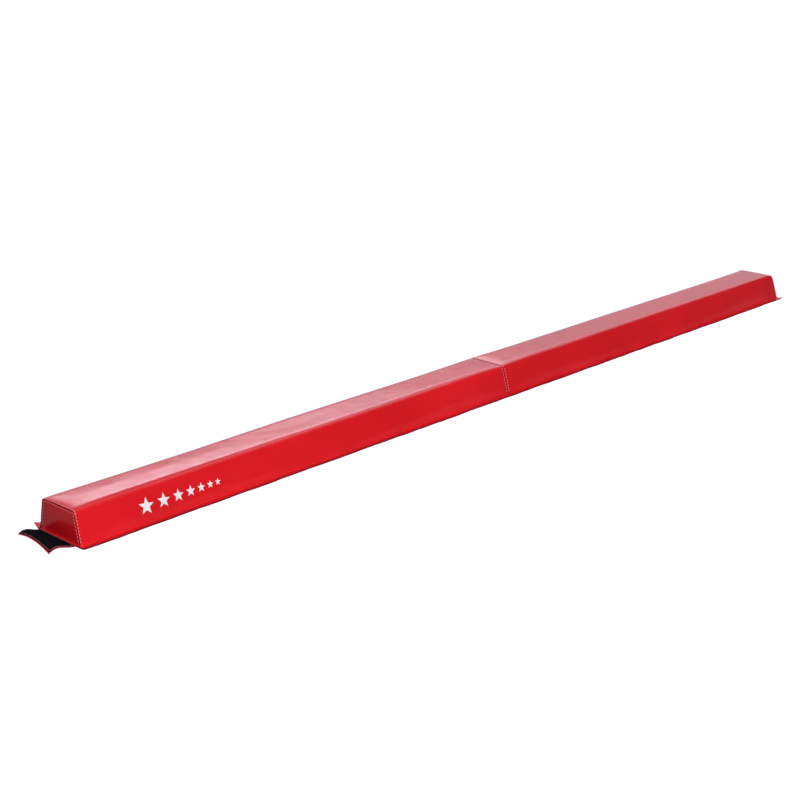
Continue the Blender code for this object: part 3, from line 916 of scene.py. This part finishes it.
def stitches(name, guide, ray, tree, seed, radius=THREAD_RADIUS, pitch=STITCH_PITCH):
    """A row of stitches along a guide line, pressed onto the surface that its rays meet."""
    guide = np.asarray(guide, float)
    total = np.linalg.norm(np.diff(guide, axis=0), axis=1).sum()
    count = max(1, int(total / pitch))
    first = (total - count * pitch) / 2 + (pitch - STITCH_LENGTH) / 2
    random = np.random.default_rng(seed)
    shares, lifts, widths = np.array((STITCH_SHARES, STITCH_LIFTS, STITCH_WIDTHS))
    angles = np.arange(STITCH_SIDES) * 2 * math.pi / STITCH_SIDES
    points = []
    for number in range(count):
        length = STITCH_LENGTH * random.uniform(*LENGTH_SPREAD)
        start = first + number * pitch + random.uniform(-PLACE_SPREAD, PLACE_SPREAD) * MM
        spots = along_path(guide, np.clip(start + shares * length, 0, total))
        skew = random.uniform(-SKEW_SPREAD, SKEW_SPREAD) * MM
        on_surface, normals = [], []
        for spot in spots:
            ray_way = Vector(ray(spot)) if callable(ray) else Vector(ray)
            where, normal, _, _ = tree.ray_cast(Vector(spot) - ray_way * 0.01, ray_way, 0.02)
            if where is None:
                where, normal = Vector(spot), -ray_way
            on_surface.append(where)
            normals.append(normal if normal.dot(ray_way) < 0 else -normal)
        along = (on_surface[-1] - on_surface[0]).normalized()
        rings = zip(on_surface, normals, lifts * radius, widths * radius, shares)
        for where, normal, lift, width, share in rings:
            sideways = along.cross(normal).normalized()
            up = sideways.cross(along).normalized()
            centre = where + up * lift + sideways * skew * (share - 0.5) * 2
            for angle in angles:
                out = sideways * math.cos(angle) * width
                out += up * math.sin(angle) * width * STITCH_FLATNESS
                points.append(tuple(centre + out))
    index = np.arange(len(points)).reshape(count, len(shares), STITCH_SIDES)
    turned = np.roll(index, -1, axis=2)
    around = quads(index[:, :-1], turned[:, :-1], turned[:, 1:], index[:, 1:])
    faces = [*around, *index[:, 0, ::-1], *index[:, -1]]
    return mesh_object(name, points, faces, 80)


def toward_axis(spot):
    """The way in to the beam's middle line, square to the section."""
    y, z = spot[1], spot[2]
    if abs(y) > ARC_Y and z < ARC_Z + (abs(y) - ARC_Y) * math.tan(SIDE_ANGLE):
        return (0, -math.copysign(SIDE_COS, y), -SIDE_SIN)
    if abs(y) > ARC_Y:
        way = Vector((0, math.copysign(ARC_Y, y) - y, ARC_Z - z))
        return tuple(way.normalized())
    return (0, 0, -1)


def flange_guide(side, sign, z):
    """The line of the stitches along the front (-1) or back (1) flange."""
    u = np.linspace(FOLD_HALF_GAP + SEAM_TO_STITCH, END_REACH - 3 * MM, 60)
    return place(side, u, sign * FLANGE_STITCH_Y, z)


def sew_half(side, cover, panels, seam_thread, flange_thread):
    """Every row of stitching on one half."""
    tree = surface_tree(cover)
    first_seed = 100 if side == "left" else 200

    def sew(where, guide, ray, onto, seed, thread, radius=THREAD_RADIUS):
        name = f"{side}_{where}"
        row = stitches(f"{name}_stitches", guide, ray, onto, first_seed + seed, radius)
        finish_piece(row, thread, f"{side}_half", [f"{name}_thread"])

    foot = LIP_TOP + SEAM_TO_STITCH + 0.6 * MM
    ring = body_ring(0, foot)
    near_end = end_u(ring[:, 1]) - SEAM_TO_STITCH
    near_fold = FOLD_HALF_GAP + SEAM_TO_STITCH
    for number, (where, u) in enumerate((("outer", near_end), ("inner", near_fold))):
        guide = place(side, u, ring[:, 0], ring[:, 1])
        sew(f"{where}_cover", guide, toward_axis, tree, number, seam_thread)
    ring = body_ring(PANEL_INSET + SEAM_TO_STITCH, foot + 1.5 * MM)
    for number, (where, panel) in enumerate(panels.items()):
        u = end_u(ring[:, 1]) if where == "outer" else FOLD_HALF_GAP
        guide = place(side, u, ring[:, 0], ring[:, 1])
        inward = (-SIDES[side] if where == "outer" else SIDES[side], 0, 0)
        sew(f"{where}_end", guide, inward, surface_tree(panel), 10 + number, seam_thread)
    for number, (where, sign) in enumerate((("front", -1), ("back", 1))):
        guide = flange_guide(side, sign, LIP_TOP)
        sew(f"{where}_flange", guide, DOWN, tree, 20 + number, flange_thread)
    lip_y = side_y(LIP_TOP) - 4 * MM
    guide = place(side, HALF_LENGTH + LIP_STITCH, np.array([-lip_y, lip_y]), LIP_TOP)
    lip_tree = surface_tree(panels["outer"])
    sew("end_flange", guide, DOWN, lip_tree, 30, flange_thread, LIP_THREAD_RADIUS)


def sew_underside(base, thread):
    """The bobbin side of the flange rows, on the base's underside."""
    tree = surface_tree(base)
    for side in SIDES:
        for number, (where, sign) in enumerate((("front", -1), ("back", 1))):
            guide, name = flange_guide(side, sign, 0), f"{side}_{where}_under_stitches"
            row = stitches(name, guide, UP, tree, 300 + number, UNDER_THREAD_RADIUS)
            finish_piece(row, thread, f"{side}_half", [])


def sew_pad(pad, thread):
    """The row round the loop pad, close to its edge."""
    low, high, side = pad_limits()
    low, high = low + PAD_INSET / FLAP_LENGTH, high - PAD_INSET / FLAP_LENGTH
    side -= PAD_INSET / FLAP_HALF_WIDTH
    corners = np.array([(low, -side), (high, -side), (high, side), (low, side), (low, -side)])
    steps = np.linspace(0, 1, 24)[:-1, None]
    round_pad = np.concatenate([a + (b - a) * steps for a, b in zip(corners, corners[1:])])
    route = flap_point(round_pad[:, 0], round_pad[:, 1]) + np.array([0, 0, 2 * MM])
    tree = surface_tree(pad)
    row = stitches("loop_pad_stitches", route, DOWN, tree, 401, PAD_THREAD_RADIUS, PAD_STITCH_PITCH)
    finish_piece(row, thread, "connector_flap", ["loop_pad_thread"])


# ---- the printed stars

STARS = 7
STAR_POINTS = 5
STAR_RADII_HIGH = 1.81
STAR_INNER_SHARE = 0.42
STAR_TILT = math.radians(8)
PRINT_LIFT = 0.10 * MM
PRINT_THICKNESS = 0.09 * MM


def star_film(number, tree, material):
    """One printed star, laid onto the cover where its solid is."""
    node = f"print_star_{number}"
    low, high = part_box(node)
    centre = (low + high) / 2
    radius = (high.z - low.z) / SIDE_COS / STAR_RADII_HIGH
    up = Vector((0, SIDE_SIN, SIDE_COS))
    outline = []
    for k in range(2 * STAR_POINTS):
        reach = radius if k % 2 == 0 else radius * STAR_INNER_SHARE
        angle = math.pi / 2 + math.pi * k / STAR_POINTS - STAR_TILT
        outline.append((reach * math.cos(angle), reach * math.sin(angle)))
    bm = bmesh.new()
    middle = bm.verts.new((0, 0, 0))
    rim = [bm.verts.new((x, y, 0)) for x, y in outline]
    for k, vertex in enumerate(rim):
        bm.faces.new((middle, vertex, rim[(k + 1) % len(rim)]))
    bmesh.ops.subdivide_edges(bm, edges=bm.edges[:], cuts=5, use_grid_fill=True)
    for vertex in bm.verts:
        flat = centre + Vector((vertex.co.x, 0, 0)) + up * vertex.co.y
        inward = Vector((0, SIDE_COS, -SIDE_SIN))
        where, normal, _, _ = tree.ray_cast(flat - inward * 0.01, inward, 0.03)
        vertex.co = where + normal * PRINT_LIFT
    mesh = bpy.data.meshes.new(node)
    bm.to_mesh(mesh)
    bm.free()
    mesh.shade_smooth()
    star = bpy.data.objects.new(f"{node}_film", mesh)
    bpy.context.scene.collection.objects.link(star)
    thick = star.modifiers.new("film", "SOLIDIFY")
    thick.thickness = PRINT_THICKNESS
    thick.offset = 0
    finish_piece(star, material, "left_half", [node])


# ---- materials

RED, DEEP_RED = (0.72, 0.008, 0.014), (0.64, 0.006, 0.011)
BASE_RED, DEEP_BASE_RED = (0.24, 0.003, 0.006), (0.2, 0.002, 0.005)
# The near-black red that painted shade along the sheets' edges darkens the vinyl to
EDGE_SHADE_COLOUR = (0.05, 0.001, 0.003)
PINK_THREAD, PINK_THREAD_SHADE = (0.92, 0.47, 0.50), (0.84, 0.33, 0.37)
RED_THREAD, RED_THREAD_SHADE = (0.2, 0.004, 0.007), (0.13, 0.003, 0.005)
HEM_THREAD, HEM_THREAD_SHADE = (0.8, 0.22, 0.26), (0.66, 0.12, 0.16)
PILE, PILE_WORN = (0.0022, 0.0022, 0.0026), (0.008, 0.008, 0.009)
TAPE, TAPE_WEAVE = (0.006, 0.006, 0.007), (0.016, 0.016, 0.018)
NYLON, NYLON_SHINE = (0.012, 0.012, 0.013), (0.03, 0.03, 0.032)
FOAM_WALL, FOAM_CELL = (0.7, 0.7, 0.68), (0.87, 0.87, 0.85)
INK, INK_MOTTLE = (0.88, 0.84, 0.87), (0.78, 0.70, 0.74)


class Nodes:
    """A node tree, with short calls for the nodes that the looks are made of."""

    def __init__(self, tree):
        self.tree = tree
        self.coordinates = self.add("ShaderNodeTexCoord").outputs
        self.vector = self.coordinates["Object"]

    def feed(self, socket, value):
        """Link an output to the socket, or set the socket to a number or colour."""
        if hasattr(value, "links"):
            self.tree.links.new(value, socket)
        else:
            socket.default_value = (*value, 1) if socket.type == "RGBA" else value

    def add(self, kind, inputs=(), **settings):
        """A new node with its settings made and its inputs fed."""
        node = self.tree.nodes.new(kind)
        for name, value in settings.items():
            setattr(node, name, value)
        for name, value in dict(inputs).items():
            self.feed(node.inputs[name], value)
        return node

    def noise(self, scale, detail=2.0, roughness=0.5):
        inputs = {"Scale": scale, "Detail": detail, "Roughness": roughness, "Vector": self.vector}
        return self.add("ShaderNodeTexNoise", inputs).outputs["Fac"]

    def cells(self, scale, feature):
        inputs = {"Scale": scale, "Vector": self.vector}
        return self.add("ShaderNodeTexVoronoi", inputs, feature=feature).outputs["Distance"]

    def mapped(self, value, low, high, to_low=0.0, to_high=1.0, curve="LINEAR"):
        """A value from low to high, spread over another range and kept inside it."""
        inputs = {"From Min": low, "From Max": high, "To Min": to_low, "To Max": to_high}
        inputs["Value"] = value
        return self.add("ShaderNodeMapRange", inputs, interpolation_type=curve).outputs["Result"]

    def mixed(self, factor, first, second):
        node = self.add("ShaderNodeMix", {"Factor": factor}, data_type="RGBA")
        for name, colour in (("A", first), ("B", second)):
            socket = [i for i in node.inputs if i.name == name and i.type == "RGBA"][0]
            self.feed(socket, colour)
        return [o for o in node.outputs if o.type == "RGBA"][0]

    def bumps(self, height, strength, distance, over=None):
        """Small heights in the surface, on top of other bumps if there are any."""
        inputs = {"Strength": strength, "Distance": distance, "Height": height}
        if over is not None:
            inputs["Normal"] = over
        return self.add("ShaderNodeBump", inputs).outputs["Normal"]

    def math(self, operation, a, b):
        node = self.add("ShaderNodeMath", operation=operation)
        self.feed(node.inputs[0], a)
        self.feed(node.inputs[1], b)
        return node.outputs["Value"]


def new_material(name):
    """An empty material's nodes, and a call that feeds its shader."""
    material = bpy.data.materials.new(name)
    material.use_nodes = True
    nodes = Nodes(material.node_tree)
    shader = material.node_tree.nodes["Principled BSDF"]

    def surface(colour, roughness, normal):
        """Link the three outputs that every look here has."""
        nodes.feed(shader.inputs["Base Color"], colour)
        nodes.feed(shader.inputs["Roughness"], roughness)
        nodes.feed(shader.inputs["Normal"], normal)

    return material, nodes, shader, surface


def vinyl(name, colour, deep, roughness, grain, grain_scale):
    """Coated vinyl: a fine pebbled grain, uneven gloss, a drifting colour, and painted shade that
    darkens its seams and edges.
    """
    material, nodes, shader, surface = new_material(name)
    drift = nodes.mapped(nodes.noise(7, 3), 0.35, 0.65)
    # Painted shade: the sheets' edge value darkens the colour at seams and edges, in place of their
    # shadow
    edge = nodes.add("ShaderNodeAttribute", attribute_name="cut_edge").outputs["Fac"]
    colour_with_edge_shade = nodes.mixed(edge, nodes.mixed(drift, colour, deep), EDGE_SHADE_COLOUR)
    gloss = nodes.mapped(nodes.noise(38, 0), 0, 1, roughness - 0.05, roughness + 0.05)
    pebbles = nodes.bumps(nodes.cells(grain_scale, "SMOOTH_F1"), grain, 0.00012)
    creases = nodes.bumps(nodes.noise(grain_scale * 0.45, 3), grain * 0.7, 0.0002, pebbles)
    surface(colour_with_edge_shade, gloss, creases)
    shader.inputs["IOR"].default_value = 1.5
    return material


def thread_material(name, colour, shade):
    """Bonded thread: a twisted ply in two shades."""
    material, nodes, shader, surface = new_material(name)
    inputs = {"Scale": 700, "Distortion": 1.5, "Vector": nodes.vector}
    bands = {"wave_type": "BANDS", "bands_direction": "DIAGONAL"}
    ply = nodes.add("ShaderNodeTexWave", inputs, **bands).outputs["Fac"]
    fuzz = nodes.mapped(nodes.noise(900), 0.3, 0.7, 0.4, 0.6)
    surface(nodes.mixed(ply, colour, shade), fuzz, nodes.bumps(ply, 0.6, 0.0001))
    shader.inputs["Sheen Weight"].default_value = 0.05
    return material


def pile_material():
    """Black loop pile, matted in patches."""
    material, nodes, shader, surface = new_material("loop_pile")
    patches = nodes.noise(420, 4, 0.7)
    shade = nodes.mixed(nodes.mapped(patches, 0.3, 0.7), PILE, PILE_WORN)
    surface(shade, nodes.mapped(patches, 0.3, 0.7, 0.85, 1.0), nodes.bumps(patches, 0.9, 0.0006))
    shader.inputs["Specular IOR Level"].default_value = 0.05
    return material


def tape_material(name, base, light, roughness):
    """Woven nylon tape: fine cross-threads."""
    material, nodes, _, surface = new_material(name)
    inputs = {"Scale": 260, "Mortar Size": 0.06, "Vector": nodes.vector}
    inputs.update({"Color1": (1, 1, 1), "Color2": (0.6, 0.6, 0.6), "Mortar": (0, 0, 0)})
    weave = nodes.add("ShaderNodeTexBrick", inputs)
    worn = nodes.mapped(nodes.noise(300), 0.3, 0.7, roughness - 0.1, roughness + 0.1)
    woven = nodes.bumps(weave.outputs["Color"], 0.5, 0.0002)
    surface(nodes.mixed(weave.outputs["Fac"], light, base), worn, woven)
    return material


def foam_material():
    """Closed-cell foam: a skin of small cells."""
    material, nodes, _, surface = new_material("foam_cells")
    cells = nodes.cells(420, "DISTANCE_TO_EDGE")
    shade = nodes.mixed(nodes.mapped(cells, 0, 0.25), FOAM_WALL, FOAM_CELL)
    rough = nodes.mapped(nodes.noise(40), 0.3, 0.7, 0.8, 0.95)
    surface(shade, rough, nodes.bumps(cells, 0.5, 0.0006))
    return material


def print_material():
    """White ink with a faint mottle, and the vinyl's grain showing through."""
    material, nodes, _, surface = new_material("print_ink")
    mottle = nodes.noise(260, 4, 0.6)
    shade = nodes.mixed(nodes.mapped(mottle, 0.35, 0.7), INK, INK_MOTTLE)
    grain = nodes.bumps(nodes.cells(900, "SMOOTH_F1"), 0.15, 0.0001)
    surface(shade, nodes.mapped(mottle, 0.3, 0.7, 0.35, 0.5), grain)
    return material


# ---- the studio

FLOOR_SIZE = 30
FLOOR_DROP = 0.3 * MM
FLOOR_SHADE = (0.25, 0.25, 0.25)

# The surroundings' strengths
WORLD_COLOUR = (0.97, 0.93, 1.04)
BACKGROUND_WHITE = 1.12
CARD_STRENGTH = 0.72
STRIP_STRENGTH = 3.5
SKY_DIM = 0.11
OVERHEAD = 0.5

# The card's slanted upper edge: how much it slants, how high it is and over what it fades
CARD_SLANT = 0.7
CARD_TOP = 0.965
CARD_FADE = 0.04
CARD_REST = 0.12

KEY_PLACE = (-2.5, -4.8, 2.9)
KEY_WIDTH, KEY_HEIGHT = 2.6, 1.6
KEY_POWER = 300

CAMERA_PLACE = (-2.6347, -2.2376, 1.1391)
CAMERA_AZIMUTH, CAMERA_ELEVATION = 0.81315, 0.32476
SENSOR_WIDTH, LENS = 36, 69.86


def make_floor():
    """A plain floor. It reflects light, but the camera looks through it to the white below."""
    bm = bmesh.new()
    bmesh.ops.create_grid(bm, x_segments=1, y_segments=1, size=FLOOR_SIZE)
    mesh = bpy.data.meshes.new("floor")
    bm.to_mesh(mesh)
    bm.free()
    floor = bpy.data.objects.new("floor", mesh)
    floor.location.z = -FLOOR_DROP
    material = bpy.data.materials.new("pale_floor")
    material.use_nodes = True
    shader = material.node_tree.nodes["Principled BSDF"]
    shader.inputs["Base Color"].default_value = (*FLOOR_SHADE, 1)
    shader.inputs["Roughness"].default_value = 0.9
    mesh.materials.append(material)
    floor.visible_camera = False
    bpy.context.scene.collection.objects.link(floor)


def make_world():
    """The surroundings: white below the horizon and wherever the camera looks past the beam.

    What the gloss mirrors and what lights the beam above the horizon is a bright card behind it
    with a brighter strip higher up, a dim front, and a soft light overhead.
    """
    world = bpy.data.worlds.new("studio")
    bpy.context.scene.world = world
    world.use_nodes = True
    background = world.node_tree.nodes["Background"]
    nodes = Nodes(world.node_tree)
    around = nodes.coordinates["Generated"]
    way = nodes.add("ShaderNodeSeparateXYZ", {"Vector": around}).outputs
    up, back = way["Z"], way["Y"]

    def ramp(value, low, high, to_low=0.0, to_high=1.0):
        return nodes.mapped(value, low, high, to_low, to_high, "SMOOTHSTEP")

    strip = nodes.math("MULTIPLY", ramp(up, 0.325, 0.375), ramp(back, 0.45, 0.76, 0.15, 1.0))
    strip = nodes.math("MULTIPLY", strip, STRIP_STRENGTH)
    slanted = nodes.math("ADD", up, nodes.math("MULTIPLY", back, CARD_SLANT))
    fading = ramp(slanted, CARD_TOP - CARD_FADE, CARD_TOP + CARD_FADE, 1.0, CARD_REST)
    card = nodes.math("MULTIPLY", nodes.math("ADD", strip, CARD_STRENGTH), fading)
    card = nodes.math("MULTIPLY", card, ramp(back, 0.0, 0.3))
    card = nodes.math("MULTIPLY", card, ramp(way["X"], -0.2, 0.3))
    sky = nodes.math("ADD", card, ramp(up, 0.6, 0.85, SKY_DIM, OVERHEAD))
    above = nodes.math("MULTIPLY", sky, ramp(up, 0.0, 0.01))
    below = ramp(up, 0.0, 0.01, BACKGROUND_WHITE, 0.0)
    seen = nodes.add("ShaderNodeLightPath").outputs["Is Camera Ray"]
    backdrop = nodes.math("MULTIPLY", seen, BACKGROUND_WHITE)
    strength = nodes.math("MAXIMUM", nodes.math("ADD", above, below), backdrop)
    nodes.feed(background.inputs["Strength"], strength)
    nodes.feed(background.inputs["Color"], WORLD_COLOUR)


def make_key_light():
    """One large soft light in front of the beam, towards its left end."""
    light = bpy.data.lights.new("key", "AREA")
    light.shape = "RECTANGLE"
    light.size, light.size_y = KEY_WIDTH, KEY_HEIGHT
    light.energy = KEY_POWER
    made = bpy.data.objects.new("key", light)
    made.location = KEY_PLACE
    made.rotation_euler = (-Vector(KEY_PLACE)).to_track_quat("-Z", "Y").to_euler()
    bpy.context.scene.collection.objects.link(made)


def make_camera():
    """The camera where the photographer stood, looking down along the beam."""
    data = bpy.data.cameras.new("camera")
    data.sensor_width = SENSOR_WIDTH
    data.lens = LENS
    data.clip_start = 0.05
    camera = bpy.data.objects.new("camera", data)
    camera.location = CAMERA_PLACE
    level = math.cos(CAMERA_ELEVATION)
    look = Vector(
        (
            math.sin(CAMERA_AZIMUTH) * level,
            math.cos(CAMERA_AZIMUTH) * level,
            -math.sin(CAMERA_ELEVATION),
        )
    )
    camera.rotation_euler = look.to_track_quat("-Z", "Y").to_euler()
    bpy.context.scene.collection.objects.link(camera)
    bpy.context.scene.camera = camera


# ---- put together


def main():
    """Make the materials, the pieces and then the studio."""
    make_camera()
    red = vinyl("red_vinyl", RED, DEEP_RED, roughness=0.17, grain=0.12, grain_scale=900)
    base_red = vinyl(
        "base_vinyl", BASE_RED, DEEP_BASE_RED, roughness=0.5, grain=0.5, grain_scale=520
    )
    seam_thread = thread_material("thread", PINK_THREAD, PINK_THREAD_SHADE)
    flange_thread = thread_material("red_thread", RED_THREAD, RED_THREAD_SHADE)
    hem_thread = thread_material("hem_thread", HEM_THREAD, HEM_THREAD_SHADE)
    foam = foam_material()
    pile = pile_material()
    tape = tape_material("hook_tape", TAPE, TAPE_WEAVE, roughness=0.6)
    nylon = tape_material("hook_nylon", NYLON, NYLON_SHINE, roughness=0.4)
    ink = print_material()

    base = make_base(base_red)
    for side in SIDES:
        blown = inflated(side)
        make_foam(side, blown, foam)
        cover = make_cover(side, blown, red)
        panels = {
            "outer": make_panel(side, blown, red, outer=True),
            "inner": make_panel(side, blown, red, outer=False),
        }
        sew_half(side, cover, panels, seam_thread, flange_thread)
        if side == "left":
            tree = surface_tree(cover)
            for number in range(1, STARS + 1):
                star_film(number, tree, ink)
    sew_underside(base, seam_thread)
    make_flap(red)
    pad, pile_top = make_loop_pad(pile)
    make_loops(pile_top, pile)
    sew_pad(pad, hem_thread)
    make_hook_pad(tape, nylon)
    make_floor()
    make_world()
    make_key_light()
    bpy.context.scene.view_settings.view_transform = "Standard"


main()
